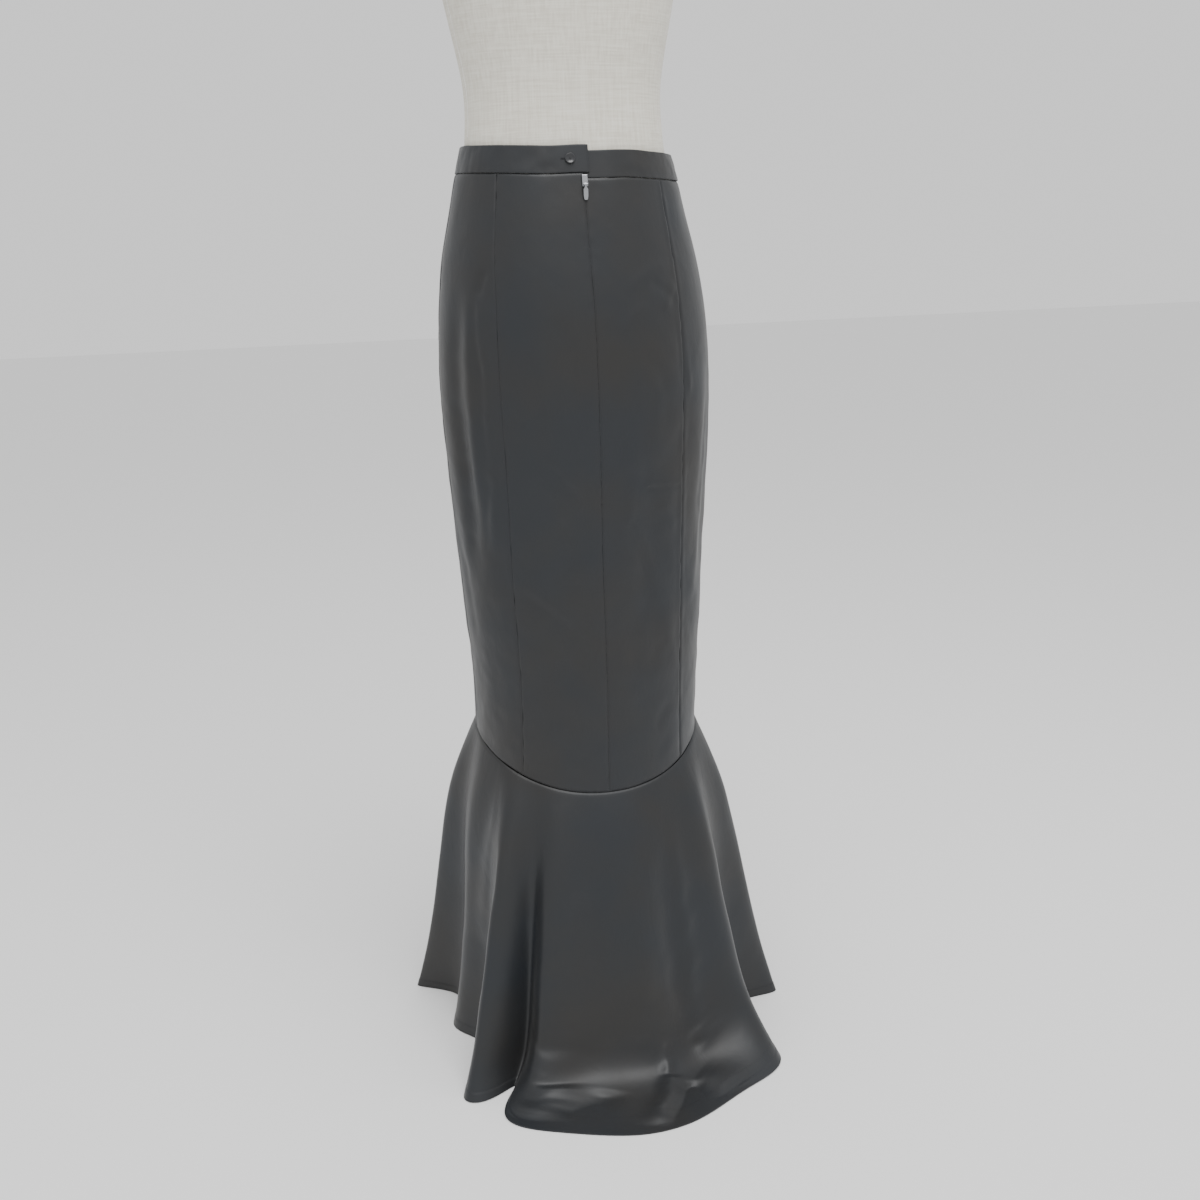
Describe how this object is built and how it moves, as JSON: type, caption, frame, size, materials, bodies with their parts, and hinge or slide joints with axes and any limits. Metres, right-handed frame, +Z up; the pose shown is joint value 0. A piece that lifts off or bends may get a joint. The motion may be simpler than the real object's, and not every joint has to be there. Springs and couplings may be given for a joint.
{
  "type": "mermaid fishtail skirt on a dress form",
  "caption": "Long fitted satin skirt with a slanted knee seam, a flared flounce and a short train, worn by a limbless linen dress form on a pole and round foot.",
  "frame": {"origin": "on the floor, under the middle of the whole object's width and depth; the form's pole stands 3.4 mm to the wearer's left of it and 53.3 mm in front of it", "axes": "+Z up, the skirt's front faces -Y, its back and train +Y, and the wearer's left is +X"},
  "size_m": [0.445, 0.5474, 1.5643],
  "materials": {
    "satin": "satin",
    "zip_tape": "matte",
    "zip_metal": "polished",
    "button_resin": "gloss",
    "linen": "matte",
    "stand_metal": "painted",
    "cap_wood": "varnished"
  },
  "bodies": {
    "skirt_on_form": {"form_foot": "stand_metal", "form_pole": "stand_metal", "form_torso": "linen", "form_neck_cap": "cap_wood", "waistband": "satin", "back_left": "satin", "back_right": "satin", "side_back_left": "satin", "side_back_right": "satin", "side_front_left": "satin", "side_front_right": "satin", "front": "satin", "flounce_back": "satin", "flounce_front": "satin", "zip_tape": "zip_tape", "zip_slider": "zip_metal", "waist_button": "button_resin"},
    "zip_pull": {"zip_pull": "zip_metal"}
  },
  "joints": [
    {"name": "zip_pull_hinge", "type": "hinge", "parent": "skirt_on_form", "child": "zip_pull", "pos_m": [0.00337, 0.04924, 1.01026], "axis": [1, 0, 0], "range_deg": [0, 150]}
  ]
}
